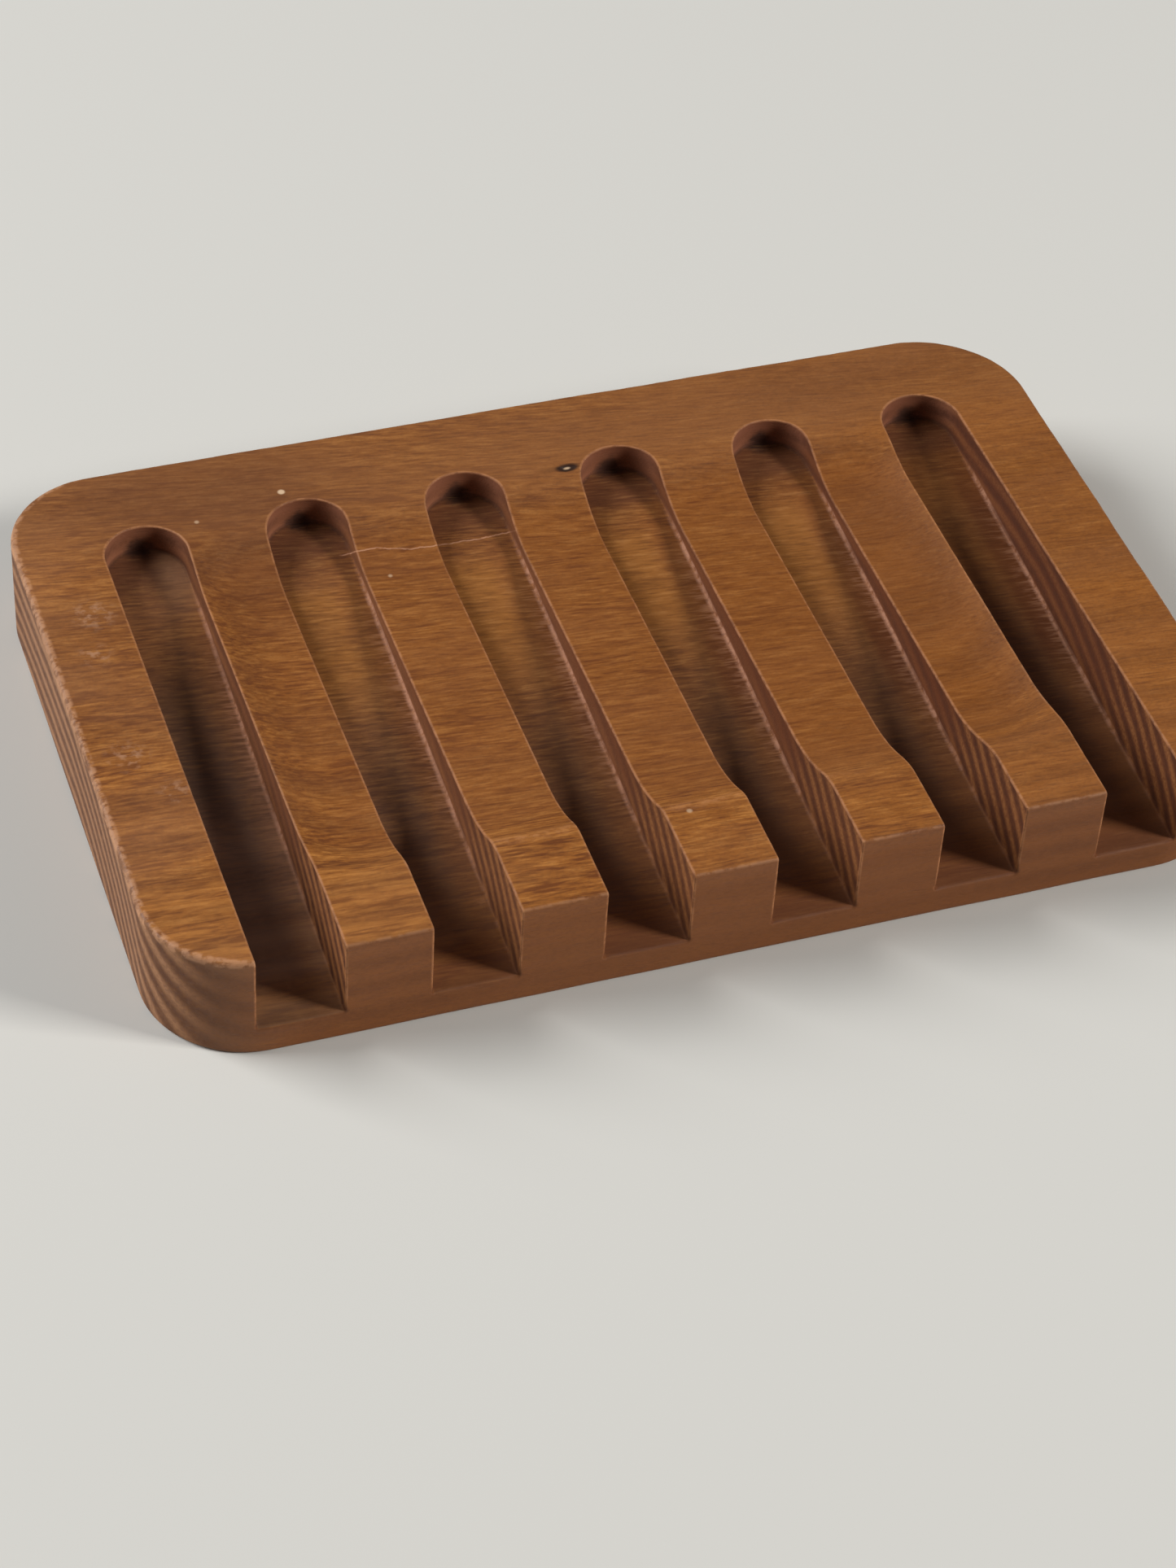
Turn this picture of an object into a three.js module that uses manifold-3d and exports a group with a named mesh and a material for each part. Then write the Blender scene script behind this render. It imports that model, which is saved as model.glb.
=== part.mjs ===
// A wooden draining soap dish, carved from one board.
// Six slots are milled up from the front edge and end in a half round short of the back edge.
// Their floors fall towards the front, so water runs out over the front edge. The bar of soap
// lies in a shallow dished seat across the fingers that the slots leave standing.
//
// Millimetres, +Z up. X runs along the board and its grain, and -Y is the front edge.
// The origin is the middle of the flat underside.

import * as THREE from 'three';
import { mergeVertices } from 'three/addons/utils/BufferGeometryUtils.js';
import Module from 'manifold-3d';

// The board
const LENGTH = 124;
const DEPTH = 81;
const THICKNESS = 13.5;
const ARRIS = 0.5; // sanded-off edge around the top and the underside
const CORNERS = { frontLeft: 11.5, frontRight: 11.5, backRight: 12.5, backLeft: 11 };

// The drainage slots: one width, one pitch, centred along the board
const SLOT_COUNT = 6;
const SLOT_PITCH = 19;
const SLOT_WIDTH = 9.5;
const SLOT_END = 65.8; // from the front edge to the centre of the half-round end, at the top
const WEB_AT_FRONT = 3.7; // wood left under a slot at the front edge
const SLOT_FALL = THREE.MathUtils.degToRad(5);

// The soap seat: a flat floor inside a hollow edge of one radius
const SEAT_LENGTH = 91;
const SEAT_WIDTH = 56.4;
const SEAT_CENTRE = -1.6; // the seat sits a little forward of the middle
const SEAT_DEPTH = 3;
const SEAT_COVE = 18; // radius of the hollow edge
const SEAT_TILT = THREE.MathUtils.degToRad(0.45); // the seat deepens slightly towards the back
const SEAT_CORE_CORNER = 0.4;

// How finely the round shapes are divided
const CORNER_STEPS = 10;
const END_STEPS = 14;
const ARRIS_STEPS = 2;
const COVE_STEPS = 18;
const SEAT_CORNER_STEPS = 5;

const PAST = 2; // how far a cutter runs past the face that it cuts through

const wasm = await Module();
wasm.setup();

function solidOf(geometry) {
  const bare = geometry.clone();
  bare.deleteAttribute('normal');
  bare.deleteAttribute('uv');
  const merged = mergeVertices(bare, 1e-4);
  return new wasm.Manifold(new wasm.Mesh({
    numProp: 3,
    vertProperties: new Float32Array(merged.attributes.position.array),
    triVerts: new Uint32Array(merged.index.array),
  }));
}

function geometryOf(solid) {
  const mesh = solid.getMesh();
  const geometry = new THREE.BufferGeometry();
  geometry.setAttribute('position', new THREE.BufferAttribute(mesh.vertProperties, 3));
  geometry.setIndex(new THREE.BufferAttribute(mesh.triVerts, 1));
  geometry.computeVertexNormals();
  return geometry;
}

// A rectangle with its own radius at each corner, drawn counter-clockwise
function roundedRectangle(width, height, radii) {
  const x = width / 2;
  const y = height / 2;
  const quarter = Math.PI / 2;
  const { frontLeft, frontRight, backRight, backLeft } = radii;
  const outline = new THREE.Shape();
  outline.absarc(x - frontRight, frontRight - y, frontRight, -quarter, 0);
  outline.absarc(x - backRight, y - backRight, backRight, 0, quarter);
  outline.absarc(backLeft - x, y - backLeft, backLeft, quarter, 2 * quarter);
  outline.absarc(frontLeft - x, frontLeft - y, frontLeft, 2 * quarter, 3 * quarter);
  return outline;
}

function board() {
  const geometry = new THREE.ExtrudeGeometry(roundedRectangle(LENGTH, DEPTH, CORNERS), {
    depth: THICKNESS - 2 * ARRIS,
    bevelThickness: ARRIS,
    bevelSize: ARRIS,
    bevelOffset: -ARRIS,
    bevelSegments: ARRIS_STEPS,
    curveSegments: CORNER_STEPS,
  });
  return geometry.translate(0, 0, ARRIS);
}

// The cutter stands square to the sloping floor, so a slot's half-round end leans with it.
function slotCutter(x) {
  const rise = THICKNESS - WEB_AT_FRONT;
  const run = SLOT_END * Math.cos(SLOT_FALL) + rise * Math.sin(SLOT_FALL);
  const half = SLOT_WIDTH / 2;
  const outline = new THREE.Shape();
  outline.moveTo(-half, -PAST);
  outline.lineTo(half, -PAST);
  outline.absarc(0, run, half, 0, Math.PI);
  const geometry = new THREE.ExtrudeGeometry(outline, {
    depth: THICKNESS + PAST,
    bevelEnabled: false,
    curveSegments: END_STEPS,
  });
  geometry.rotateX(SLOT_FALL);
  return geometry.translate(x, -DEPTH / 2, WEB_AT_FRONT);
}

// The hollow edge is the bevel of an extrusion: a quarter round of the cove's radius, of which
// only the lowest part reaches into the board.
function seatCutter() {
  const reach = Math.sqrt(SEAT_COVE ** 2 - (SEAT_COVE - SEAT_DEPTH) ** 2);
  const corner = SEAT_CORE_CORNER;
  const floor = roundedRectangle(SEAT_LENGTH - 2 * reach, SEAT_WIDTH - 2 * reach, {
    frontLeft: corner,
    frontRight: corner,
    backRight: corner,
    backLeft: corner,
  });
  const geometry = new THREE.ExtrudeGeometry(floor, {
    depth: PAST,
    bevelThickness: SEAT_COVE,
    bevelSize: SEAT_COVE,
    bevelSegments: COVE_STEPS,
    curveSegments: SEAT_CORNER_STEPS,
  });
  geometry.translate(0, 0, SEAT_COVE);
  geometry.rotateX(-SEAT_TILT);
  return geometry.translate(0, SEAT_CENTRE, THICKNESS - SEAT_DEPTH);
}

function dishBoard() {
  let dish = solidOf(board());
  for (let i = 0; i < SLOT_COUNT; i += 1) {
    const x = (i - (SLOT_COUNT - 1) / 2) * SLOT_PITCH;
    dish = dish.subtract(solidOf(slotCutter(x)));
  }
  dish = dish.subtract(solidOf(seatCutter()));
  const wood = new THREE.MeshStandardMaterial({ color: 0x8a5530, roughness: 0.6, metalness: 0 });
  const mesh = new THREE.Mesh(geometryOf(dish), wood);
  mesh.name = 'dish_board';
  return mesh;
}

const soapDish = new THREE.Group();
soapDish.add(dishBoard());

export default soapDish;
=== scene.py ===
"""Looks for a wooden draining soap dish: one board with six milled slots and a dished seat.

The CAD board is replaced by a finely divided board of the same size whose edges, rims and hollows
are rounded by use, in a solid wood that runs through the board as real grain does.
Shapes are worked out in millimetres and scaled to metres when the mesh is made.
"""

import math

import bmesh
import bpy
import numpy as np
from mathutils import Matrix, Vector, noise
from mathutils.geometry import delaunay_2d_cdt


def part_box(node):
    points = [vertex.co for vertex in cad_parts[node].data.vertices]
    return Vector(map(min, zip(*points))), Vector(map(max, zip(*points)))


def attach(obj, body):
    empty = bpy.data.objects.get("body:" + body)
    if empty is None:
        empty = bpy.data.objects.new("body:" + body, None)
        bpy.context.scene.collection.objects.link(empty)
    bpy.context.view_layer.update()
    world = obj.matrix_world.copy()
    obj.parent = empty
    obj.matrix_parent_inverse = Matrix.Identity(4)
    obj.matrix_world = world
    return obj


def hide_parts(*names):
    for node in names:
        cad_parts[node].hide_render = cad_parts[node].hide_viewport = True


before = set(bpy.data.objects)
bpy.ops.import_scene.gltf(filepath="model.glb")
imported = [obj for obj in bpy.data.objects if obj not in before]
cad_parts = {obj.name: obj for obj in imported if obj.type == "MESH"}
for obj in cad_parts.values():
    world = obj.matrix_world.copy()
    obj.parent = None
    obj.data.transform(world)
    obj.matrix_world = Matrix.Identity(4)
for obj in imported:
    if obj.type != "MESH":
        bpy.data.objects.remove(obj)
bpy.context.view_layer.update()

METRE = 0.001  # a millimetre in metres

# ---------------------------------------------------------------- sizes of the board, millimetres

board_low, board_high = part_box("dish_board")
LENGTH, DEPTH, THICKNESS = ((board_high - board_low) / METRE)[:]
FRONT = -DEPTH / 2

FRONT_LEFT = 11.5  # corner radii seen from above
FRONT_RIGHT = 11.5
BACK_RIGHT = 12.5
BACK_LEFT = 11

SLOT_COUNT = 6
SLOT_PITCH = 19
SLOT_HALF = 4.75  # half the slot's width
SLOT_END = 65.8  # from the front edge to the centre of the half-round end, at the top
WEB = 3.7  # wood under a slot at the front edge
FALL = math.radians(5)  # the slot floors fall towards the front
FALL_SIN, FALL_COS, FALL_TAN = math.sin(FALL), math.cos(FALL), math.tan(FALL)
SLOT_RUN = SLOT_END * FALL_COS + (THICKNESS - WEB) * FALL_SIN

SEAT_LENGTH = 91
SEAT_WIDTH = 56.4
SEAT_CENTRE = -1.6
SEAT_DEPTH = 3
SEAT_COVE = 18
SEAT_CORNER = 10  # the hollow edge turns its corners on this radius
SEAT_TILT = math.tan(math.radians(0.45))

KNOT = np.array([3.5, 27.7])  # an open knot behind the third finger
KNOT_SIZE = np.array([1.2, 0.66])
KNOT_DEPTH = 0.45

# Points lie close together beside an edge, so that its rounding is smooth
EDGE_ROWS = [0.12, 0.27, 0.48, 0.8]
EDGE_STEP = 0.6
INNER_STEP = 1.05
UNDERSIDE_STEP = 4.0
FOOT_STEP = 0.8  # around the underside's edge
OUTER_WALL_STEP = 0.95
END_STEPS = 44  # around a slot's half-round end
CORNER_STEP = 0.6
WALL_ROWS = 8
CLEAR_OF_SLOT = 1.2  # even points stay this far from a slot's opening
SAME_PLACE = 0.05  # two inner points closer than this are one
WELD = 0.004
TINY = 1e-9  # keeps a division from dividing by nothing

# Average radii of the worn edges
ARRIS = 0.42  # round the upper face
RIM = 0.17  # where a slot opens into the board's faces
FOOT = 0.5  # round the underside
FILLET = 0.3  # along the foot of a slot's walls

# What the wood shader counts as part of a slot or of the seat's edge
SLOT_REACH = 0.12
CREASE_REACH = 0.45


# ---------------------------------------------------------------- plan shapes


def outline_pieces():
    """The board's outline, counter-clockwise from the middle of the back edge, as lines and arcs."""
    x, y = LENGTH / 2, DEPTH / 2
    quarter = math.pi / 2
    return [
        ("line", (0, y), (BACK_LEFT - x, y)),
        ("arc", (BACK_LEFT - x, y - BACK_LEFT), BACK_LEFT, quarter),
        ("line", (-x, y - BACK_LEFT), (-x, FRONT_LEFT - y)),
        ("arc", (FRONT_LEFT - x, FRONT_LEFT - y), FRONT_LEFT, 2 * quarter),
        ("line", (FRONT_LEFT - x, -y), (x - FRONT_RIGHT, -y)),
        ("arc", (x - FRONT_RIGHT, FRONT_RIGHT - y), FRONT_RIGHT, 3 * quarter),
        ("line", (x, FRONT_RIGHT - y), (x, y - BACK_RIGHT)),
        ("arc", (x - BACK_RIGHT, y - BACK_RIGHT), BACK_RIGHT, 0),
        ("line", (x - BACK_RIGHT, y), (0, y)),
    ]


PIECES = outline_pieces()


def piece_length(piece):
    if piece[0] == "arc":
        return piece[2] * math.pi / 2
    return math.dist(piece[1], piece[2])


PIECE_ENDS = np.cumsum([piece_length(piece) for piece in PIECES])
PERIMETER = PIECE_ENDS[-1]


def outline(distance):
    """The point of the outline at a distance along it."""
    index = min(int(np.searchsorted(PIECE_ENDS, distance)), len(PIECES) - 1)
    piece = PIECES[index]
    along = distance - (PIECE_ENDS[index - 1] if index else 0)
    if piece[0] == "arc":
        angle = piece[3] + along / piece[2]
        return (piece[1][0] + piece[2] * math.cos(angle), piece[1][1] + piece[2] * math.sin(angle))
    share = along / piece_length(piece)
    return tuple(a + (b - a) * share for a, b in zip(piece[1], piece[2]))


def front_distance(x):
    """Where along the outline the front edge, or the corner beside it, has this x."""
    left = FRONT_LEFT - LENGTH / 2
    right = LENGTH / 2 - FRONT_RIGHT
    if x < left:
        return PIECE_ENDS[2] + FRONT_LEFT * math.acos((left - x) / FRONT_LEFT)
    if x > right:
        return PIECE_ENDS[4] + FRONT_RIGHT * math.asin((x - right) / FRONT_RIGHT)
    return PIECE_ENDS[3] + x - left


def slot_x(index):
    return (index - (SLOT_COUNT - 1) / 2) * SLOT_PITCH


def slot_mouth(index):
    """Where along the outline a slot's opening starts and ends."""
    return [front_distance(slot_x(index) + side * SLOT_HALF) for side in (-1, 1)]


def clustered(length, step=EDGE_STEP, count=None):
    """Distances from 0 to length, close together near both ends."""
    near = np.array([0] + EDGE_ROWS)
    near = near * min(1, length / (2.6 * EDGE_ROWS[-1]))
    inner = length - 2 * near[-1]
    count = count or max(1, round(inner / step))
    even = near[-1] + inner * np.arange(1, count) / count
    return np.concatenate([near, even, length - near[::-1]])


def even(start, end, step=CORNER_STEP):
    count = max(1, math.ceil((end - start) / step))
    return start + (end - start) * np.arange(count + 1) / count


# ---------------------------------------------------------------- signed distances, negative in wood


def length2(a, b):
    return np.sqrt(a * a + b * b)


def soft_min(a, b, width):
    """The smaller of two heights, blended where they are within width of each other."""
    h = np.clip(0.5 + 0.5 * (b - a) / width, 0, 1)
    return b + (a - b) * h - width * h * (1 - h)


def both(a, b, radius):
    """Inside a and inside b, with the edge between them rounded to a radius."""
    outside = length2(np.maximum(a + radius, 0), np.maximum(b + radius, 0))
    return np.minimum(np.maximum(a, b), -radius) + outside


def rounded_rectangle(x, y, half_x, half_y, radius):
    qx = np.abs(x) - half_x + radius
    qy = np.abs(y) - half_y + radius
    return np.minimum(np.maximum(qx, qy), 0) + length2(np.maximum(qx, 0), np.maximum(qy, 0)) - radius


def board_plan(x, y):
    radius = np.where(
        y < 0,
        np.where(x < 0, FRONT_LEFT, FRONT_RIGHT),
        np.where(x < 0, BACK_LEFT, BACK_RIGHT),
    )
    return rounded_rectangle(x, y, LENGTH / 2, DEPTH / 2, radius)


def crease_softness(x):
    """How gently the land turns into the seat: crispest on the middle fingers."""
    return 0.7 + 1.1 * np.clip((np.abs(x + 8) - 12) / 30, 0, 1)


def top_height(x, y):
    """Height of the upper face: flat lands, and the dished seat."""
    inside = -rounded_rectangle(x, y - SEAT_CENTRE, SEAT_LENGTH / 2, SEAT_WIDTH / 2, SEAT_CORNER)
    depth = SEAT_DEPTH + (y - SEAT_CENTRE) * SEAT_TILT
    reach = np.sqrt(SEAT_COVE**2 - (SEAT_COVE - depth) ** 2)
    left = np.clip(reach - inside, 0, None)
    on_arc = SEAT_COVE - depth - np.sqrt(np.maximum(SEAT_COVE**2 - np.minimum(left, reach) ** 2, 0))
    slope = reach / (SEAT_COVE - depth)
    hollow = on_arc + np.maximum(-inside, 0) * slope
    return THICKNESS + soft_min(hollow, np.zeros_like(x), crease_softness(x))


def slot_index(x):
    return np.clip(np.round(x / SLOT_PITCH + (SLOT_COUNT - 1) / 2), 0, SLOT_COUNT - 1)


def in_slot(p):
    """A point in the frame of its nearest slot: across it, along its floor, up from its floor."""
    y = p[:, 1] - FRONT
    z = p[:, 2] - WEB
    across = p[:, 0] - slot_x(slot_index(p[:, 0]))
    return across, y * FALL_COS + z * FALL_SIN, z * FALL_COS - y * FALL_SIN


def capsule(across, along):
    return length2(across, np.maximum(along - SLOT_RUN, 0)) - SLOT_HALF


# ---------------------------------------------------------------- wear


def wobble(points, scale, seed):
    """Smooth noise, about -1 to 1, whose bumps are about scale millimetres across."""
    shift = Vector((seed * 17.3, seed * 5.1, seed * 9.7))
    return np.array([noise.noise(Vector(p) / scale + shift) for p in points]) * 1.6


class Wear:
    """The rounding of each edge, which hand sanding and use have made uneven."""

    def __init__(self, p):
        long_wave = wobble(p, 9, 1)
        short_wave = wobble(p, 1.3, 2)
        chips = np.clip(wobble(p, 0.9, 3) - 0.75, 0, None)
        left = np.clip((-p[:, 0] - 35) / 20, 0, 1)
        self.arris = ARRIS + 0.16 * left + 0.12 * long_wave + 0.05 * short_wave + 0.25 * chips
        self.arris = np.clip(self.arris, 0.2, 1.0)
        self.rim = np.clip(RIM + 0.05 * long_wave + 0.04 * short_wave + 0.35 * chips, 0.08, 0.6)
        sill = np.clip(1 - in_slot(p)[2], 0, 1) * np.clip(FRONT + 2 - p[:, 1], 0, 1)
        self.rim += 0.25 * sill
        self.foot = FOOT + 0.1 * long_wave


def solid(p, wear):
    """Signed distance to the worn board, near its surface."""
    x, y, z = p.T
    board = both(board_plan(x, y), z - top_height(x, y), wear.arris)
    board = both(board, -z, wear.foot)
    across, along, up = in_slot(p)
    cut = both(capsule(across, along), -up, FILLET)
    solid_distance = both(board, -cut, wear.rim)
    return np.maximum(solid_distance, knot_hole(p))


def knot_hole(p):
    """A small open knot behind the third finger: a shallow pit in the upper face."""
    place = (p[:, :2] - KNOT) / KNOT_SIZE
    reach = np.exp(-2.2 * (place**2).sum(1))
    return p[:, 2] - top_height(p[:, 0], p[:, 1]) + KNOT_DEPTH * reach


def slope_of(p, wear):
    step = 0.01
    parts = []
    for axis in range(3):
        move = np.zeros(3)
        move[axis] = step
        parts.append((solid(p + move, wear) - solid(p - move, wear)) / (2 * step))
    return np.stack(parts, 1)


def settle(p, wear, rounds=5):
    """Moves points of the sharp board onto the worn surface, and gives the surface's normals."""
    for _ in range(rounds):
        slope = slope_of(p, wear)
        steep = np.maximum((slope**2).sum(1), 0.25)
        p = p - slope * (solid(p, wear) / steep)[:, None]
    slope = slope_of(p, wear)
    return p, slope / np.maximum(np.linalg.norm(slope, axis=1), TINY)[:, None]


# ---------------------------------------------------------------- the sharp board, patch by patch


class Surface:
    """Collects the corner points and faces of all patches."""

    def __init__(self):
        self.points = []
        self.faces = []

    def add(self, points, faces):
        first = len(self.points)
        self.points.extend(points)
        self.faces.extend([first + i for i in face] for face in faces)


def column(index, side):
    """Points up the front end of a slot's wall, from its floor to the top."""
    x = slot_x(index) + side * SLOT_HALF
    y = outline(front_distance(x))[1]
    floor = WEB + (y - FRONT) * FALL_TAN
    top = float(top_height(np.array([x]), np.array([y]))[0])
    return [(x, y, z) for z in floor + clustered(top - floor, count=WALL_ROWS)]


def slot_top(index):
    """The slot's edge on the upper face, from its left front end round to its right one."""
    centre = slot_x(index)
    end_y = FRONT + SLOT_END
    rims = []
    for side in (-1, 1):
        start_y = outline(front_distance(centre + side * SLOT_HALF))[1]
        ys = start_y + clustered(end_y - start_y)
        ys = ys[: -len(EDGE_ROWS) - 1]
        rims.append([(centre + side * SLOT_HALF, y) for y in ys])
    half_round = []
    for turn in np.linspace(0, math.pi, END_STEPS + 1):
        across = -SLOT_HALF * math.cos(turn)
        along = SLOT_RUN + SLOT_HALF * math.sin(turn)
        up = THICKNESS - WEB
        for _ in range(4):
            y = FRONT + along * FALL_COS - up * FALL_SIN
            top = float(top_height(np.array([centre + across]), np.array([y]))[0])
            up = (top - WEB - along * FALL_SIN) / FALL_COS
        half_round.append((centre + across, y))
    return rims[0] + half_round + rims[1][::-1]


def wall_columns(index):
    """The slot's walls as columns of points from floor to top, leaning more towards its far end."""
    columns = []
    for x, y in slot_top(index):
        top = float(top_height(np.array([x]), np.array([y]))[0])
        share = np.clip((y - FRONT) / SLOT_END, 0, 1) ** 2
        lean = -math.tan(FALL) * share
        drop = ((top - WEB) - (y - FRONT) * FALL_TAN) / (1 - lean * FALL_TAN)
        heights = clustered(drop, count=WALL_ROWS)
        columns.append([(x, y + lean * (h - drop), top + h - drop) for h in heights])
    return columns


def offsets_inside(loop, inside, step):
    """Points in rows beside a loop, then an even grid: all of them inside it."""
    loop = np.array(loop)
    before = loop - np.roll(loop, 1, 0)
    after = np.roll(loop, -1, 0) - loop
    rows = []
    for edge in (before, after):
        length = np.linalg.norm(edge, axis=1)
        good = length > TINY
        inward = np.stack([-edge[:, 1], edge[:, 0]], 1)[good] / length[good][:, None]
        for row in EDGE_ROWS:
            moved = loop[good] + inward * row
            rows.append(moved[inside(moved) > row - 0.02])
    low, high = loop.min(0), loop.max(0)
    counts = np.maximum(1, np.round((high - low) / step)).astype(int)
    lines = [np.linspace(a, b, count + 1) for a, b, count in zip(low, high, counts)]
    grid = np.stack(np.meshgrid(*lines), -1).reshape(-1, 2)
    clear = EDGE_ROWS[-1] + min(step, 1) * 0.45
    rows.append(grid[inside(grid) > clear])
    together = np.concatenate(rows)
    _, first = np.unique(np.round(together / SAME_PLACE), axis=0, return_index=True)
    return together[np.sort(first)]


def patch(surface, loop, inside, step, lift):
    """Triangulates the region inside a counter-clockwise loop and lifts it into space."""
    points = [Vector(p) for p in loop] + [Vector(p) for p in offsets_inside(loop, inside, step)]
    result = delaunay_2d_cdt(points, [], [list(range(len(loop)))], 1, 1e-5)
    surface.add(lift(np.array([p[:] for p in result[0]])), result[2])


def top_loop():
    """The upper face's edge: round the board, and in and out of each slot."""
    loop = []
    distance = 0.0
    for index in range(SLOT_COUNT):
        left, right = slot_mouth(index)
        loop += [outline(d) for d in edge_stops(distance, left)]
        loop += slot_top(index)[1:-1]
        distance = right
    loop += [outline(d) for d in edge_stops(distance, PERIMETER)][:-1]
    return loop


def edge_stops(start, end):
    """Distances along the outline from one slot opening to the next, or to the seam at the back."""
    stops = start + clustered(end - start)
    if start == 0.0 or end == PERIMETER:
        corners = [d for d in PIECE_ENDS[:-1] if start < d < end]
        edges = [start] + corners + [end]
        parts = [even(a, b) for a, b in zip(edges, edges[1:])]
        stops = np.unique(np.concatenate(parts))
        at_slot = np.array(EDGE_ROWS)
        if start == 0.0:
            before = stops[stops < end - CLEAR_OF_SLOT]
            stops = np.concatenate([before, end - at_slot[::-1], [end]])
        else:
            after = stops[stops > start + CLEAR_OF_SLOT]
            stops = np.concatenate([[start], start + at_slot, after])
    return stops


def inside_top(p):
    x, y = p.T
    slots = length2(
        x - slot_x(slot_index(x)), np.maximum(y - FRONT - SLOT_END, 0)
    ) - SLOT_HALF
    return np.minimum(-board_plan(x, y), slots)


def add_top(surface):
    def lift(p):
        return np.column_stack([p, top_height(p[:, 0], p[:, 1])])

    patch(surface, top_loop(), inside_top, INNER_STEP, lift)


def add_underside(surface):
    loop = [outline(d) for d in bottom_stops()[:-1]]

    def inside(p):
        return -board_plan(p[:, 0], p[:, 1])

    def lift(p):
        return np.column_stack([p, np.zeros(len(p))])

    patch(surface, loop, inside, UNDERSIDE_STEP, lift)


def bottom_stops():
    corners = np.concatenate([[0.0], PIECE_ENDS])
    return np.unique(np.concatenate([even(a, b, FOOT_STEP) for a, b in zip(corners, corners[1:])]))


def add_outer_wall(surface):
    """The outer wall, laid out flat by distance and height, with the slots notched out."""
    seam = clustered(THICKNESS, count=WALL_ROWS)
    loop = [(d, 0.0) for d in bottom_stops()]
    loop += [(PERIMETER, z) for z in seam[1:-1]]
    distance = PERIMETER
    notches = []
    for index in reversed(range(SLOT_COUNT)):
        left, right = slot_mouth(index)
        loop += [(d, THICKNESS) for d in edge_stops(right, distance)[::-1]]
        loop += [(right, p[2]) for p in column(index, 1)[::-1]][1:]
        floor = left + clustered(right - left)
        loop += [(d, floor_height(outline(d)[1])) for d in floor[::-1]][1:-1]
        loop += [(left, p[2]) for p in column(index, -1)][:-1]
        notches.append((left, right))
        distance = left
    loop += [(d, THICKNESS) for d in edge_stops(0.0, distance)[::-1]]
    loop += [(0.0, z) for z in seam[::-1]][1:-1]

    def inside(p):
        d, z = p.T
        depth = np.minimum(np.minimum(z, THICKNESS - z), np.minimum(d, PERIMETER - d))
        for left, right in notches:
            over = np.maximum(np.maximum(left - d, d - right), WEB - z)
            depth = np.minimum(depth, over)
        return depth

    def lift(p):
        flat = [outline(d) for d in p[:, 0]]
        return np.column_stack([np.array(flat), p[:, 1]])

    patch(surface, loop, inside, OUTER_WALL_STEP, lift)


def floor_height(y):
    return WEB + (y - FRONT) * FALL_TAN


def add_slot(surface, index):
    columns = wall_columns(index)
    rows = len(columns[0])
    points = [p for stack in columns for p in stack]
    faces = []
    for i in range(len(columns) - 1):
        for j in range(rows - 1):
            corner = i * rows + j
            faces.append((corner, corner + rows, corner + rows + 1, corner + 1))
    surface.add(points, faces)

    left, right = slot_mouth(index)
    loop = [outline(d) for d in left + clustered(right - left)]
    loop += [stack[0][:2] for stack in columns[::-1]][1:-1]
    centre = slot_x(index)

    def inside(p):
        x, y = p.T
        along = (y - FRONT) / FALL_COS
        return np.minimum(-capsule(x - centre, along), y - FRONT)

    def lift(p):
        return np.column_stack([p, floor_height(p[:, 1])])

    patch(surface, loop, inside, INNER_STEP, lift)


def sharp_board():
    surface = Surface()
    add_top(surface)
    add_underside(surface)
    add_outer_wall(surface)
    for index in range(SLOT_COUNT):
        add_slot(surface, index)
    return surface


# ---------------------------------------------------------------- the worn board as a mesh


def write_numbers(mesh, name, values):
    attribute = mesh.attributes.new(name, "FLOAT", "POINT")
    attribute.data.foreach_set("value", np.asarray(values, np.float32))


def write_vectors(mesh, name, values):
    attribute = mesh.attributes.new(name, "FLOAT_VECTOR", "POINT")
    attribute.data.foreach_set("vector", np.asarray(values, np.float32).ravel())


def mark_places(mesh, p):
    """What the wood shader needs to know about each point, in millimetres."""
    x, y, z = p.T
    across, along, up = in_slot(p)
    plan = board_plan(x, y)
    below = z - top_height(x, y)
    slot = capsule(across, along)
    cut = np.maximum(slot, -up)
    board = np.maximum(plan, below)
    write_numbers(mesh, "arris", length2(plan, below))
    write_numbers(mesh, "rim", length2(board, cut))
    write_numbers(mesh, "crease", length2(slot, up))
    write_numbers(mesh, "in_slot", cut < SLOT_REACH)
    from_seat = rounded_rectangle(x, y - SEAT_CENTRE, SEAT_LENGTH / 2, SEAT_WIDTH / 2, SEAT_CORNER)
    front_crease = (y < SEAT_CENTRE) & (cut > 0)
    write_numbers(mesh, "seat_crease", front_crease * np.exp(-((from_seat / CREASE_REACH) ** 2)))
    write_vectors(mesh, "slot_place", np.stack([across, along, up], 1))


def make_board():
    surface = sharp_board()
    mesh = bpy.data.meshes.new("dish_board_worn")
    mesh.from_pydata([tuple(p) for p in surface.points], [], surface.faces)
    work = bmesh.new()
    work.from_mesh(mesh)
    bmesh.ops.remove_doubles(work, verts=work.verts, dist=WELD)
    bmesh.ops.dissolve_degenerate(work, edges=work.edges, dist=WELD)
    bmesh.ops.recalc_face_normals(work, faces=work.faces)
    work.to_mesh(mesh)
    work.free()

    p = np.empty(len(mesh.vertices) * 3)
    mesh.vertices.foreach_get("co", p)
    p = p.reshape(-1, 3)
    p, normals = settle(p, Wear(p))
    mark_places(mesh, p)
    mesh.vertices.foreach_set("co", (p * METRE).astype(np.float32).ravel())
    mesh.shade_smooth()
    mesh.normals_split_custom_set_from_vertices(normals.tolist())
    mesh.update()
    board = bpy.data.objects.new("wooden_dish", mesh)
    bpy.context.collection.objects.link(board)
    return board


# ---------------------------------------------------------------- node building


def linear(red, green, blue):
    """A screen colour, 0 to 255, as a linear colour for a shader."""
    def channel(value):
        value /= 255
        return value / 12.92 if value <= 0.04045 else ((value + 0.055) / 1.055) ** 2.4

    return (channel(red), channel(green), channel(blue), 1)


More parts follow.
